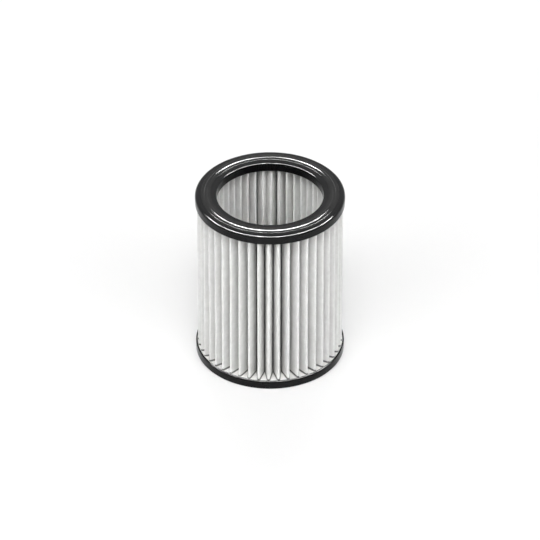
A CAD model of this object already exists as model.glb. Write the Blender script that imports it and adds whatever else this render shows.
import math

import bmesh
import bpy
import numpy as np
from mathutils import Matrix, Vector


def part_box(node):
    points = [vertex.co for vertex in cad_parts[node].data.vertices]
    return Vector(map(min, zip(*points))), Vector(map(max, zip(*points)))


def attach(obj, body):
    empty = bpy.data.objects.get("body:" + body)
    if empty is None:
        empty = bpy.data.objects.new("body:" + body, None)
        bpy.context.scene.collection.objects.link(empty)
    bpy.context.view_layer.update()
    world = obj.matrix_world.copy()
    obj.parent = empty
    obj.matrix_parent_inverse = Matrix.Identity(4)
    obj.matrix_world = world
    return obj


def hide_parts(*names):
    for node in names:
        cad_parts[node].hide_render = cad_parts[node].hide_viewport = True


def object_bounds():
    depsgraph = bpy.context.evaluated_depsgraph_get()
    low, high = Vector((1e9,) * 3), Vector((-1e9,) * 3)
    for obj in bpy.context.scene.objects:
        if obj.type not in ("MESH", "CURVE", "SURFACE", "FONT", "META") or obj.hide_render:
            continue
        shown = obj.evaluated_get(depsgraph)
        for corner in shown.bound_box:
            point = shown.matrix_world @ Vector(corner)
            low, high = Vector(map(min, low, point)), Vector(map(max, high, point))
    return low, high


# The dressed pleated filter element, in metres. Its places come from the boxes of the CAD nodes.
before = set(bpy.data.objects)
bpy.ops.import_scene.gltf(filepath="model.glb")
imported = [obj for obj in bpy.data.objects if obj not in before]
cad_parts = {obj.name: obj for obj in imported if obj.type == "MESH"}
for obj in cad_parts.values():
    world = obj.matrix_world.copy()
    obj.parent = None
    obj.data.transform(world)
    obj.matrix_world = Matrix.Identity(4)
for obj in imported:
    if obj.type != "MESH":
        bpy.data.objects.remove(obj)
cad_low, cad_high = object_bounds()

MM = 0.001
TURN = 2 * math.pi

# Sizes of the element that the boxes give
top_low, top_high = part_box("top_end_cap")
foot_low, foot_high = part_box("bottom_end_cap")
seal_low, seal_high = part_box("face_seal")
media_low, media_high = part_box("pleated_media")
bed_low, bed_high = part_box("bottom_potting")
roof_low, roof_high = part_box("top_potting")
CAP_RADIUS = min(-cad_low.x, -cad_low.y, cad_high.x, cad_high.y)  # keeps the caps inside the box
CHANNEL_OUTER = bed_high.x
SEAL_OUTER = seal_high.x

# Sizes of the element that no box gives, as in the CAD
BORE_RADIUS = 28.5 * MM
COLLAR_WALL = 1.1 * MM
SEAL_WIDTH = 5.4 * MM
SEAL_DEPTH = 1.0 * MM
SEAL_PROUD = 0.4 * MM
LIP_WIDTH = 2.0 * MM
LIP_TAPER = 0.5 * MM
PLEATS = 45
SHEET = 0.5 * MM
TIP_CLEARANCE = 0.2 * MM
FOLD_CLEARANCE = 0.5 * MM
SEAM_ANGLE = math.radians(92.9)
FLAP_LENGTH = 3.4 * MM
GLUE_LINE = 0.1 * MM
CLIP_THICKNESS = 0.4 * MM
CHANNEL_INNER = BORE_RADIUS + COLLAR_WALL
TIP_RADIUS = CHANNEL_OUTER - TIP_CLEARANCE
FOLD_RADIUS = CHANNEL_INNER + FOLD_CLEARANCE
SEAL_INNER = SEAL_OUTER - SEAL_WIDTH
PITCH = TURN / PLEATS


# ---------------------------------------------------------------- materials

# Each material's two tones, which a noise mixes
CAP_TONES = (0.003, 0.003, 0.0035), (0.007, 0.007, 0.0075)
SEAL_TONES = (0.005, 0.005, 0.005), (0.010, 0.010, 0.010)
ADHESIVE_TONES = (0.76, 0.755, 0.735), (0.85, 0.845, 0.825)
PAPER_TONES = (0.79, 0.79, 0.775), (0.88, 0.88, 0.87)
STEEL_TONES = (0.50, 0.50, 0.49), (0.66, 0.66, 0.65)
CREASE_TONE = (0.10, 0.10, 0.097)  # of the paper in the hollow of a fold
WICK_TONE = (0.11, 0.11, 0.105)  # of paper and adhesive where one has soaked into the other
WICK_REACH = 1.3 * MM  # above and below the adhesive's face
NOISE_RANGE = (0.3, 0.7)  # nearly all values of a noise lie between these
CAP_IOR = 1.42
BLACK_SPECULAR = 0.2
PAPER_SPECULAR = 0.05


def add_node(tree, kind, inputs=None, **settings):
    """A node with its settings and its inputs, each of which is a plain value or another's output."""
    node = tree.nodes.new(kind)
    for name, value in settings.items():
        setattr(node, name, value)
    for name, value in (inputs or {}).items():
        if isinstance(value, bpy.types.NodeSocket):
            tree.links.new(value, node.inputs[name])
        else:
            node.inputs[name].default_value = value
    return node


def own_place(tree):
    """The point in the object's own coordinates, which are metres in the shared frame."""
    return add_node(tree, "ShaderNodeTexCoord").outputs["Object"]


def noise(tree, scale, detail=2.0, roughness=0.5, stretch=(1, 1, 1)):
    """Noise over the object, with its coordinates multiplied by stretch."""
    mapping = add_node(tree, "ShaderNodeMapping", {"Vector": own_place(tree), "Scale": stretch})
    inputs = {"Vector": mapping.outputs["Vector"], "Scale": scale, "Detail": detail,
              "Roughness": roughness}
    return add_node(tree, "ShaderNodeTexNoise", inputs).outputs["Fac"]


def arithmetic(tree, operation, *values):
    """One step of arithmetic on plain values or outputs."""
    return add_node(tree, "ShaderNodeMath", dict(enumerate(values)), operation=operation).outputs[0]


def ranged(tree, value, source, result, interpolation="LINEAR"):
    """A value carried from a source range to a result range, and held at its ends."""
    inputs = {"Value": value, "From Min": source[0], "From Max": source[1],
              "To Min": result[0], "To Max": result[1]}
    node = add_node(tree, "ShaderNodeMapRange", inputs, interpolation_type=interpolation)
    return node.outputs["Result"]


def tint(tree, value, tones):
    """A colour between two tones, picked by a noise value."""
    ramp = add_node(tree, "ShaderNodeValToRGB", {"Fac": value})
    for element, position, tone in zip(ramp.color_ramp.elements, NOISE_RANGE, tones):
        element.position = position
        element.color = (*tone, 1)
    return ramp.outputs["Color"]


def relief(tree, height, distance, strength, under=None):
    """Bump from a height value, on top of another bump if one is given."""
    inputs = {"Height": height, "Distance": distance, "Strength": strength}
    if under is not None:
        inputs["Normal"] = under
    return add_node(tree, "ShaderNodeBump", inputs).outputs["Normal"]


def darkened(tree, colour, amount, dark):
    """A colour mixed towards a darker one by an amount from 0 to 1."""
    first_colour, second_colour, result = 6, 7, 2  # the node's colour sockets share their names
    inputs = {"Factor": amount, first_colour: colour, second_colour: (*dark, 1)}
    return add_node(tree, "ShaderNodeMix", inputs, data_type="RGBA").outputs[result]


def attribute(tree, name):
    """A value that the mesh holds for each of its points."""
    return add_node(tree, "ShaderNodeAttribute", attribute_name=name).outputs["Fac"]


def near_height(tree, height, reach):
    """1 near a height over the floor, falling to 0 at a distance above or below it."""
    z = add_node(tree, "ShaderNodeSeparateXYZ", {"Vector": own_place(tree)}).outputs["Z"]
    away = arithmetic(tree, "ABSOLUTE", arithmetic(tree, "SUBTRACT", z, height))
    return ranged(tree, away, (reach / 2, reach), (1, 0), "SMOOTHSTEP")


def new_material(name):
    """A node material, its tree and its Principled shader."""
    material = bpy.data.materials.new(name)
    material.use_nodes = True
    return material, material.node_tree, material.node_tree.nodes["Principled BSDF"]


def dress(tree, shader, colour, gloss_noise, roughness, normal):
    """Give a shader its colour, its relief, and a roughness that a noise spreads over a range."""
    rough = ranged(tree, gloss_noise, NOISE_RANGE, roughness)
    tree.links.new(colour, shader.inputs["Base Color"])
    tree.links.new(rough, shader.inputs["Roughness"])
    tree.links.new(normal, shader.inputs["Normal"])


def cap_plastic():
    """Black moulded nylon: glossy, with a faint orange-peel skin and slight cloudiness in its gloss."""
    material, tree, shader = new_material("cap_plastic")
    colour = tint(tree, noise(tree, scale=60, detail=3), CAP_TONES)
    skin = relief(tree, noise(tree, scale=500), distance=0.003 * MM, strength=0.3)
    dress(tree, shader, colour, noise(tree, scale=140, detail=3), (0.07, 0.12), skin)
    shader.inputs["IOR"].default_value = CAP_IOR
    shader.inputs["Specular IOR Level"].default_value = BLACK_SPECULAR
    return material


def seal_rubber():
    """Black moulded nitrile: softer gloss than the caps, with a fine dull bloom."""
    material, tree, shader = new_material("seal_rubber")
    colour = tint(tree, noise(tree, scale=220, detail=4), SEAL_TONES)
    grain = relief(tree, noise(tree, scale=1500), distance=0.0015 * MM, strength=0.3)
    dress(tree, shader, colour, noise(tree, scale=300, detail=3), (0.14, 0.2), grain)
    shader.inputs["Specular IOR Level"].default_value = BLACK_SPECULAR
    return material


def potting_adhesive():
    """Cast off-white adhesive: smooth and slightly uneven, with tiny pits, and grey where it has soaked
    the paper."""
    material, tree, shader = new_material("potting_adhesive")
    colour = tint(tree, noise(tree, scale=120, detail=3), ADHESIVE_TONES)
    colour = darkened(tree, colour, attribute(tree, "soaked"), WICK_TONE)
    flow = relief(tree, noise(tree, scale=350), distance=0.12 * MM, strength=0.5)
    pits = relief(tree, noise(tree, scale=1800), distance=0.03 * MM, strength=0.6, under=flow)
    dress(tree, shader, colour, noise(tree, scale=260, detail=3), (0.38, 0.55), pits)
    return material


def filter_paper():
    """White wet-laid filter paper: fine fibres, a clouded sheet and a felt-like surface. It is darker in
    the hollow of each fold, and the adhesive has soaked a grey line into it along both caps."""
    material, tree, shader = new_material("filter_paper")
    colour = tint(tree, noise(tree, scale=260, detail=5, roughness=0.6), PAPER_TONES)
    colour = darkened(tree, colour, attribute(tree, "crease"), CREASE_TONE)
    for height in (bed_high.z, roof_low.z):
        colour = darkened(tree, colour, near_height(tree, height, WICK_REACH), WICK_TONE)
    felt = noise(tree, scale=2600, detail=5, roughness=0.65)
    fibres = noise(tree, scale=1500, detail=4, roughness=0.6, stretch=(1.6, 1.6, 0.35))
    felt_bump = relief(tree, felt, distance=0.06 * MM, strength=0.7)
    fibre_bump = relief(tree, fibres, distance=0.08 * MM, strength=0.7, under=felt_bump)
    dress(tree, shader, colour, noise(tree, scale=500, detail=3), (0.82, 0.95), fibre_bump)
    shader.inputs["Specular IOR Level"].default_value = PAPER_SPECULAR
    return material


def clip_steel():
    """Plated strip steel, brushed along its length."""
    material, tree, shader = new_material("clip_steel")
    brushed = noise(tree, scale=900, detail=3, roughness=0.6, stretch=(4, 4, 0.06))
    strokes = relief(tree, brushed, distance=0.01 * MM, strength=0.6)
    dress(tree, shader, tint(tree, brushed, STEEL_TONES), brushed, (0.26, 0.42), strokes)
    shader.inputs["Metallic"].default_value = 1.0
    return material


# ---------------------------------------------------------------- meshes

MERGE_DISTANCE = 1e-7


def add_piece(name, vertices, faces, material, nodes, values=None):
    """A smooth-shaded piece on the one body, standing for CAD nodes. values is an attribute's name and
    its number for each point."""
    mesh = bpy.data.meshes.new(name)
    mesh.from_pydata([tuple(v) for v in vertices], [], [tuple(f) for f in faces])
    if values is not None:
        mesh.attributes.new(values[0], "FLOAT", "POINT").data.foreach_set("value", values[1])
    mesh.update()
    tidy = bmesh.new()
    tidy.from_mesh(mesh)
    bmesh.ops.remove_doubles(tidy, verts=tidy.verts, dist=MERGE_DISTANCE)
    bmesh.ops.recalc_face_normals(tidy, faces=tidy.faces)
    tidy.to_mesh(mesh)
    tidy.free()
    mesh.shade_smooth()
    mesh.materials.append(material)
    piece = bpy.data.objects.new(name, mesh)
    bpy.context.scene.collection.objects.link(piece)
    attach(piece, "root")
    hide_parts(*nodes)
    return piece


def loop_faces(steps, count, closed=True):
    """Quads round the axis between `steps` copies of an outline of `count` points."""
    faces = []
    last = count if closed else count - 1
    for step in range(steps):
        this, following = step * count, ((step + 1) % steps) * count
        for k in range(last):
            after = (k + 1) % count
            faces.append((this + k, following + k, following + after, this + after))
    return faces


# ---------------------------------------------------------------- the turned pieces

ROUND_STEPS = 288  # round the axis
EDGE_STEPS = 6  # over one rounded edge
SEAL_EDGE_STEPS = 8

# Radii of the rounded edges
FACE_EDGE = 1.6 * MM
BORE_EDGE = 0.9 * MM
GROOVE_EDGE = 0.15 * MM
GROOVE_CORNER = 0.1 * MM
WALL_EDGE = 0.3 * MM
CHANNEL_EDGE = 0.25 * MM
CHANNEL_CORNER = 0.2 * MM
FOOT_EDGE = 0.8 * MM
RIM_OUTER_EDGE = 0.7 * MM
RIM_INNER_EDGE = 0.15 * MM
HUB_CORNER = 0.5 * MM
SEAL_SHOULDER = 0.35 * MM
LIP_CORNER = 0.2 * MM
LIP_EDGE = 0.9 * MM


def rounded(corners, steps=EDGE_STEPS):
    """An outline of (r, z, corner radius) with each corner turned by an arc. A radius of 0 stays sharp."""
    outline = []
    count = len(corners)
    for k, (r, z, radius) in enumerate(corners):
        here = Vector((r, z))
        if radius == 0:
            outline.append(here)
            continue
        before = (Vector(corners[k - 1][:2]) - here).normalized()
        after = (Vector(corners[(k + 1) % count][:2]) - here).normalized()
        half = before.angle(after) / 2
        centre = here + (before + after).normalized() * (radius / math.sin(half))
        reach = radius / math.tan(half)
        start, end = here + before * reach - centre, here + after * reach - centre
        for step in range(steps + 1):
            share = step / steps
            arm = (start * (1 - share) + end * share).normalized() * radius
            outline.append(centre + arm)
    return outline


def turned(outline, closed=True):
    """Vertices and faces of an outline of (r, z) points turned about Z."""
    vertices = []
    for step in range(ROUND_STEPS):
        angle = TURN * step / ROUND_STEPS
        vertices += [(r * math.cos(angle), r * math.sin(angle), z) for r, z in outline]
    return vertices, loop_faces(ROUND_STEPS, len(outline), closed)


def top_cap(material):
    """The ring cap: face with its seal groove, skirt, channel and the collar round the bore."""
    face, foot, roof = top_high.z, top_low.z, roof_high.z
    groove = face - SEAL_DEPTH
    corners = [
        (BORE_RADIUS, foot, WALL_EDGE),
        (BORE_RADIUS, face, BORE_EDGE),
        (SEAL_INNER, face, GROOVE_EDGE),
        (SEAL_INNER, groove, GROOVE_CORNER),
        (SEAL_OUTER, groove, GROOVE_CORNER),
        (SEAL_OUTER, face, GROOVE_EDGE),
        (CAP_RADIUS, face, FACE_EDGE),
        (CAP_RADIUS, foot, WALL_EDGE),
        (CHANNEL_OUTER, foot, CHANNEL_EDGE),
        (CHANNEL_OUTER, roof, CHANNEL_CORNER),
        (CHANNEL_INNER, roof, CHANNEL_CORNER),
        (CHANNEL_INNER, foot, WALL_EDGE),
    ]
    vertices, faces = turned(rounded(corners))
    return add_piece("top_cap_moulding", vertices, faces, material, ["top_end_cap"])


def bottom_cap(material):
    """The closed tray: a disc with a skirt and a collar."""
    foot, rim, floor_height = foot_low.z, foot_high.z, bed_low.z
    corners = [
        (0, foot, 0),
        (CAP_RADIUS, foot, FOOT_EDGE),
        (CAP_RADIUS, rim, RIM_OUTER_EDGE),
        (CHANNEL_OUTER, rim, RIM_INNER_EDGE),
        (CHANNEL_OUTER, floor_height, CHANNEL_CORNER),
        (CHANNEL_INNER, floor_height, CHANNEL_CORNER),
        (CHANNEL_INNER, rim, WALL_EDGE),
        (BORE_RADIUS, rim, WALL_EDGE),
        (BORE_RADIUS, floor_height, HUB_CORNER),
        (0, floor_height, 0),
    ]
    vertices, faces = turned(rounded(corners), closed=False)
    nodes = ["bottom_end_cap"]
    return add_piece("bottom_cap_moulding", vertices, faces, material, nodes)


def seal_ring(material):
    """The seal: a flat ring that fills its groove, with a rounded lip along its middle."""
    foot, land, crest = seal_low.z, top_high.z + SEAL_PROUD, seal_high.z
    lip_inner = (SEAL_INNER + SEAL_OUTER - LIP_WIDTH) / 2
    lip_outer = lip_inner + LIP_WIDTH
    corners = [
        (SEAL_INNER, foot, GROOVE_CORNER),
        (SEAL_INNER, land, SEAL_SHOULDER),
        (lip_inner, land, LIP_CORNER),
        (lip_inner + LIP_TAPER, crest, LIP_EDGE),
        (lip_outer - LIP_TAPER, crest, LIP_EDGE),
        (lip_outer, land, LIP_CORNER),
        (SEAL_OUTER, land, SEAL_SHOULDER),
        (SEAL_OUTER, foot, GROOVE_CORNER),
    ]
    vertices, faces = turned(rounded(corners, SEAL_EDGE_STEPS))
    return add_piece("seal_lip_ring", vertices, faces, material, ["face_seal"])


# ---------------------------------------------------------------- the folded sheet

LEVELS = 41  # rows of points up the sheet
ARC_STEPS = 6  # over one fold
WALL_STEPS = 4  # points inside one wall
CREASE = 0.12 * MM  # inside radius of a fold
MIDDLE = CREASE + SHEET / 2  # radius of the middle of the sheet at a fold
INNER_CREASE = FOLD_RADIUS + CREASE + SHEET
OUTER_CREASE = TIP_RADIUS - CREASE - SHEET
FLAP_HALF_WIDTH = GLUE_LINE / 2 + SHEET
FLAP_END = TIP_RADIUS - FLAP_HALF_WIDTH - CLIP_THICKNESS
FLAP_ROOT = FLAP_END - FLAP_LENGTH

# How far the outer and the inner face of a wall go to the crease's tone next to the crease, and the
# power of the distance with which that tone grows
HOLLOW_GREY = (0.45, 0.12)
HOLLOW_CURVE = 1.3

# Small unevenness of the folds between the caps
SEED = 45
HOLD_CURVE = 0.7  # below 1, the folds come loose soon after a cap
WAVES = (1, 2, 3)  # half waves up the sheet
WAVE_SUM = 1.2  # divides the sum of the waves
FOLD_SET = 0.07  # degrees that a whole fold is off its place
FOLD_WANDER = 0.08  # degrees that it drifts sideways
FOLD_INSET = 0.1 * MM
WALL_BOW = 0.12 * MM


def turn_by(vectors, angle):
    """2-D vectors, one a row, turned by an angle or by one angle each."""
    cosine, sine = np.cos(angle), np.sin(angle)
    x, y = vectors[:, 0], vectors[:, 1]
    return np.stack([x * cosine - y * sine, x * sine + y * cosine], axis=1)


def unit(vectors):
    """Vectors, one a row, each made 1 long."""
    return vectors / np.linalg.norm(vectors, axis=1, keepdims=True)


def wall_lines(inner, outer, turn, pull):
    """Direction outwards and outer-face normal of a wall from an inner crease to a target, at every
    level. pull is how far off the line between them the wall's middle passes, both ends added."""
    across = outer - inner
    lean = np.arcsin(pull / np.linalg.norm(across, axis=1))
    along = unit(turn_by(across, -turn * lean))
    return along, turn_by(along, -turn * math.pi / 2)


def arc_samples(crease, first, last, outward):
    """Middle points and outer-face normals over one fold, from one wall's arm to the next one's, and
    how deep in a hollow the outer face and the inner face lie there, from 0 to 1."""
    start = np.arctan2(first[:, 1], first[:, 0])
    sweep = np.arctan2(last[:, 1], last[:, 0]) - start
    sweep = (sweep + math.pi) % TURN - math.pi
    depths = (0, 1) if outward == 1 else (1, 0)
    samples = []
    for step in range(ARC_STEPS + 1):
        angle = start + sweep * step / ARC_STEPS
        arm = np.stack([np.cos(angle), np.sin(angle)], axis=1)
        samples.append((crease + arm * MIDDLE, arm * outward, depths))
    return samples


def wall_samples(start, end, normal, bow, outward):
    """Middle points inside one wall, pushed off its plane by a slight bow, with the depths of both
    faces."""
    samples = []
    for step in range(1, WALL_STEPS + 1):
        share = step / (WALL_STEPS + 1)
        push = (bow * math.sin(math.pi * share))[:, None]
        near_inner, near_outer = (1 - share, share) if outward == 1 else (share, 1 - share)
        depths = (HOLLOW_GREY[0] * near_inner ** HOLLOW_CURVE,
                  HOLLOW_GREY[1] * near_outer ** HOLLOW_CURVE)
        samples.append((start * (1 - share) + end * share + normal * push, normal, depths))
    return samples


def sheet_samples():
    """Points along the middle of the folded sheet, from one end at the seam to the other, each with its
    outer-face normal at every level and the depths of both faces."""
    chance = np.random.default_rng(SEED)
    up = np.linspace(0, 1, LEVELS)
    held = np.sin(math.pi * up) ** HOLD_CURVE

    def wander(size):
        """A slow random drift up the sheet, nothing at the caps."""
        waves = sum(chance.normal() / n * np.sin(n * math.pi * up + chance.uniform(0, TURN))
                    for n in WAVES)
        return size * held * waves / WAVE_SUM

    def crease(radius, angle, inset):
        """A crease's place at every level, a little inside the space between the caps' walls."""
        angles = angle + math.radians(chance.normal() * FOLD_SET) + wander(math.radians(FOLD_WANDER))
        radii = radius + inset * np.abs(wander(FOLD_INSET))
        return np.stack([radii * np.cos(angles), radii * np.sin(angles)], axis=1)

    inner = [crease(INNER_CREASE, (k + 0.5) * PITCH, 1) for k in range(PLEATS)]
    outer = [crease(OUTER_CREASE, k * PITCH, -1) for k in range(1, PLEATS)]
    middle = (GLUE_LINE + SHEET) / 2
    roots = [np.tile([FLAP_ROOT, side * middle], (LEVELS, 1)) for side in (1, -1)]
    ends = [np.tile([FLAP_END, side * middle], (LEVELS, 1)) for side in (1, -1)]
    sideways = np.tile([0.0, 1.0], (LEVELS, 1))

    samples = [(ends[0], sideways, (0, 0)), ((ends[0] + roots[0]) / 2, sideways, (0, 0))]
    for k in range(PLEATS):
        first, last = k == 0, k == PLEATS - 1
        behind = roots[0] if first else outer[k - 1]
        ahead = roots[1] if last else outer[k]
        _, falling = wall_lines(inner[k], behind, -1, MIDDLE if first else 2 * MIDDLE)
        _, rising = wall_lines(inner[k], ahead, 1, MIDDLE if last else 2 * MIDDLE)
        if first:
            samples.append((behind, unit(falling + sideways), (0, 0)))
        else:
            samples += arc_samples(outer[k - 1], previous_rising, falling, 1)
        start = behind if first else behind + falling * MIDDLE
        end = inner[k] - falling * MIDDLE
        samples += wall_samples(start, end, falling, wander(WALL_BOW), -1)
        samples += arc_samples(inner[k], -falling, -rising, -1)
        start = inner[k] - rising * MIDDLE
        end = ahead if last else ahead + rising * MIDDLE
        samples += wall_samples(start, end, rising, wander(WALL_BOW), 1)
        previous_rising = rising
    samples.append((roots[1], unit(previous_rising - sideways), (0, 0)))
    samples += [((ends[1] + roots[1]) / 2, -sideways, (0, 0)), (ends[1], -sideways, (0, 0))]
    return samples


def folded_sheet(material):
    """One sheet of 45 pleats with rounded folds. Between the caps its folds wander and its walls bow by
    about a tenth of a millimetre, as pressed paper does, and at the caps they are held in place."""
    samples = sheet_samples()
    heights = np.linspace(media_low.z, media_high.z, LEVELS)
    columns, hollows = [], []
    for points, normals, depths in samples:
        for side, depth in zip((1, -1), depths):
            place = turn_by(points + side * normals * SHEET / 2, SEAM_ANGLE)
            columns.append(np.column_stack([place, heights]))
            hollows.append(float(depth))
    vertices = np.stack(columns, axis=1).reshape(-1, 3)

    row = 2 * len(samples)  # points on a level, outer and inner face in turn
    faces = []
    for level in range(LEVELS - 1):
        low, high = level * row, (level + 1) * row
        for k in range(0, row - 2, 2):
            faces.append((low + k, low + k + 2, high + k + 2, high + k))
            faces.append((low + k + 1, high + k + 1, high + k + 3, low + k + 3))
        faces.append((low, high, high + 1, low + 1))
        faces.append((low + row - 2, low + row - 1, high + row - 1, high + row - 2))
    top = (LEVELS - 1) * row
    for k in range(0, row - 2, 2):
        faces.append((k, k + 1, k + 3, k + 2))
        faces.append((top + k, top + k + 2, top + k + 3, top + k + 1))
    values = ("crease", np.tile(hollows, LEVELS))
    nodes = ["pleated_media"]
    return add_piece("folded_paper", vertices, faces, material, nodes, values)


# ---------------------------------------------------------------- the adhesive beds

BED_ROWS = 26  # over the bed's width
BED_STEPS = 18 * PLEATS
CREEP = 0.32 * MM  # up the paper
CREEP_REACH = 0.4 * MM
CLIMB = 0.2 * MM  # up the cap's walls
CLIMB_REACH = 0.3 * MM
SOAK_REACH = 0.35 * MM
SOAK_START = 1.3  # over 1, so that the bed is fully soaked next to the paper
RIPPLE = 0.05 * MM
SAG = 0.1 * MM


def to_sheet(radii, angles):
    """Distance from points to the surface of the sheet, taking each pleat as the even one."""
    off = np.abs((angles - SEAM_ANGLE + PITCH / 2) % PITCH - PITCH / 2)
    points = np.stack([radii * np.cos(off), radii * np.sin(off)], axis=-1)
    inner = np.array([[INNER_CREASE * math.cos(PITCH / 2), INNER_CREASE * math.sin(PITCH / 2)]])
    outer = np.array([[OUTER_CREASE, 0.0]])
    _, normal = wall_lines(inner, outer, -1, 2 * MIDDLE)
    start, end = inner[0] - normal[0] * MIDDLE, outer[0] + normal[0] * MIDDLE
    span = end - start
    share = np.clip(((points - start) @ span) / (span @ span), 0, 1)
    nearest = start + share[..., None] * span
    return np.maximum(np.linalg.norm(points - nearest, axis=-1) - SHEET / 2, 0)


def adhesive_bed(name, back, face, material, node):
    """A cast ring whose face creeps up the paper and the cap's walls and sags a little between them."""
    up = 1 if face > back else -1
    radii = np.linspace(CHANNEL_OUTER, CHANNEL_INNER, BED_ROWS)
    angles = np.arange(BED_STEPS) * TURN / BED_STEPS
    grid_r, grid_a = np.meshgrid(radii, angles)
    near = to_sheet(grid_r, grid_a)
    soaked = np.clip(SOAK_START - near / SOAK_REACH, 0, 1)
    creep = CREEP * np.exp(-near / CREEP_REACH)
    climb = CLIMB * (np.exp((grid_r - CHANNEL_OUTER) / CLIMB_REACH)
                     + np.exp((CHANNEL_INNER - grid_r) / CLIMB_REACH))
    ripple = RIPPLE * (np.sin(3 * grid_a + 1) + np.sin(7 * grid_a + 2 + grid_r / MM))
    heights = face + up * (creep + climb + ripple - SAG)
    vertices, values = [], []
    for k, angle in enumerate(angles):
        cosine, sine = math.cos(angle), math.sin(angle)
        outline = [(CHANNEL_INNER, back), (CHANNEL_OUTER, back), *zip(radii, heights[k])]
        vertices += [(r * cosine, r * sine, z) for r, z in outline]
        values += [0.0, 0.0, *soaked[k]]
    faces = loop_faces(BED_STEPS, BED_ROWS + 2)
    attribute_values = ("soaked", values)
    return add_piece(name, vertices, faces, material, [node], attribute_values)


# ---------------------------------------------------------------- the dressed part

plastic = cap_plastic()
adhesive = potting_adhesive()
top_cap(plastic)
bottom_cap(plastic)
seal_ring(seal_rubber())
folded_sheet(filter_paper())
adhesive_bed("bottom_adhesive", bed_low.z, bed_high.z, adhesive, "bottom_potting")
adhesive_bed("top_adhesive", roof_high.z, roof_low.z, adhesive, "top_potting")

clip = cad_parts["seam_clip"]
clip.data.materials.clear()
clip.data.materials.append(clip_steel())


# ---------------------------------------------------------------- stage, light and camera

WORLD_LEVEL = 0.42  # of the white surroundings as a light
FLOOR_SIZE = 12.0  # from the middle to a side
FLOOR_COLOUR = (0.72, 0.72, 0.72, 1)
FADE_REACH = (0.1, 1.2)  # from the middle of the floor
FADE_GLOW = (0.10, 0.75)

# Lamps: name, azimuth and elevation in degrees, width in metres and power in watts
SOFT_LAMPS = [
    ("key_left", -46, 46, 0.30, 1.6),
    ("key_right", 46, 46, 0.30, 1.35),
    ("top", 0, 62, 0.30, 3.2),
    ("back", 180, 42, 0.50, 2.6),
]
SOFT_DISTANCE, SOFT_HEIGHT = 0.8, 0.30
# Azimuth and elevation of the strips that the black parts mirror
GLOSS_LAMPS = [(-102, 44), (-68, 51), (-34, 56), (0, 57), (34, 56), (68, 51), (102, 44)]
GLOSS_DISTANCE, GLOSS_WIDTH, GLOSS_HEIGHT, GLOSS_POWER = 0.7, 0.30, 0.10, 19.0

VIEW_ELEVATION = math.radians(35.5)
LENS = 400.0  # mm on a 36 mm wide sensor, so that the view is nearly parallel
VIEW_WIDTH = 0.2897  # across the picture at the element
CLIP_START, CLIP_END = 0.1, 40


def seen_directly(tree):
    """1 for camera, glossy and transmitted rays, and 0 for the light that falls on matt surfaces."""
    path = add_node(tree, "ShaderNodeLightPath")
    seen = path.outputs["Is Camera Ray"]
    for ray in ("Is Transmission Ray", "Is Glossy Ray"):
        seen = arithmetic(tree, "MAXIMUM", seen, path.outputs[ray])
    return seen


def white_backdrop():
    """A white world, which camera, glossy and transmitted rays see at full white."""
    world = bpy.data.worlds.new("studio")
    bpy.context.scene.world = world
    world.use_nodes = True
    tree = world.node_tree
    background = tree.nodes["Background"]
    background.inputs["Color"].default_value = (1, 1, 1, 1)
    level = ranged(tree, seen_directly(tree), (0, 1), (WORLD_LEVEL, 1))
    tree.links.new(level, background.inputs["Strength"])


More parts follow.
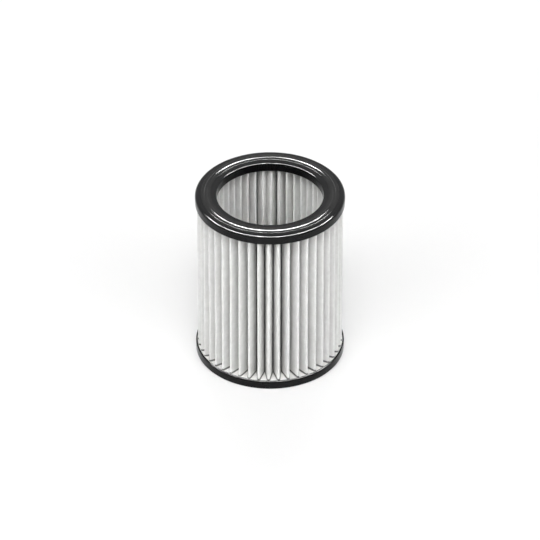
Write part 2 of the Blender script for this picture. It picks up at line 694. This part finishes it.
def floor():
    """A wide white floor. It keeps the element's shadow, and glows to plain white where the lamps'
    light fades with the distance."""
    mesh = bpy.data.meshes.new("floor")
    corners = [(x * FLOOR_SIZE, y * FLOOR_SIZE, 0) for x, y in ((-1, -1), (1, -1), (1, 1), (-1, 1))]
    mesh.from_pydata(corners, [], [(0, 1, 2, 3)])
    material = bpy.data.materials.new("floor_white")
    material.use_nodes = True
    tree = material.node_tree
    tree.nodes.clear()
    diffuse = add_node(tree, "ShaderNodeBsdfDiffuse", {"Color": FLOOR_COLOUR})
    length = add_node(tree, "ShaderNodeVectorMath", operation="LENGTH")
    tree.links.new(own_place(tree), length.inputs[0])
    fade = ranged(tree, length.outputs["Value"], FADE_REACH, FADE_GLOW, "SMOOTHSTEP")
    strength = arithmetic(tree, "MULTIPLY", seen_directly(tree), fade)
    glow = add_node(tree, "ShaderNodeEmission", {"Strength": strength})
    both = add_node(tree, "ShaderNodeAddShader", {0: diffuse.outputs[0], 1: glow.outputs[0]})
    add_node(tree, "ShaderNodeOutputMaterial", {"Surface": both.outputs[0]})
    mesh.materials.append(material)
    piece = bpy.data.objects.new("floor", mesh)
    bpy.context.scene.collection.objects.link(piece)


def panel_lamp(name, azimuth, elevation, distance, width, height, power, gloss=False):
    """A white panel lamp that faces the element. Azimuth 0 is in front and 90 to the right. One for
    gloss is seen only in reflections, and any other one only lights what it shines on."""
    data = bpy.data.lights.new(name, "AREA")
    data.shape = "RECTANGLE"
    data.size, data.size_y, data.energy = width, height, power
    lamp = bpy.data.objects.new(name, data)
    a, e = math.radians(azimuth), math.radians(elevation)
    arm = Vector((math.sin(a) * math.cos(e), -math.cos(a) * math.cos(e), math.sin(e)))
    lamp.location = (cad_low + cad_high) / 2 + arm * distance
    lamp.rotation_euler = (-arm).to_track_quat("-Z", "Y").to_euler()
    lamp.visible_diffuse = not gloss
    lamp.visible_glossy = gloss
    bpy.context.scene.collection.objects.link(lamp)


def lamps():
    """The soft lamps, and the strips for gloss."""
    for name, azimuth, elevation, width, power in SOFT_LAMPS:
        panel_lamp(name, azimuth, elevation, SOFT_DISTANCE, width, SOFT_HEIGHT, power)
    for k, (azimuth, elevation) in enumerate(GLOSS_LAMPS):
        panel_lamp(f"gloss_{k + 1}", azimuth, elevation, GLOSS_DISTANCE, GLOSS_WIDTH, GLOSS_HEIGHT,
                   GLOSS_POWER, gloss=True)


def view():
    """The camera, in front and above, aimed at the middle of the element."""
    data = bpy.data.cameras.new("camera")
    data.lens = LENS
    data.clip_start, data.clip_end = CLIP_START, CLIP_END
    camera = bpy.data.objects.new("camera", data)
    bpy.context.scene.collection.objects.link(camera)
    distance = VIEW_WIDTH * LENS / data.sensor_width
    toward = Vector((0, -math.cos(VIEW_ELEVATION), math.sin(VIEW_ELEVATION)))
    camera.location = Vector((0, 0, top_high.z / 2)) + toward * distance
    camera.rotation_euler = (-toward).to_track_quat("-Z", "Y").to_euler()
    bpy.context.scene.camera = camera


white_backdrop()
floor()
lamps()
view()
bpy.context.scene.view_settings.view_transform = "Standard"
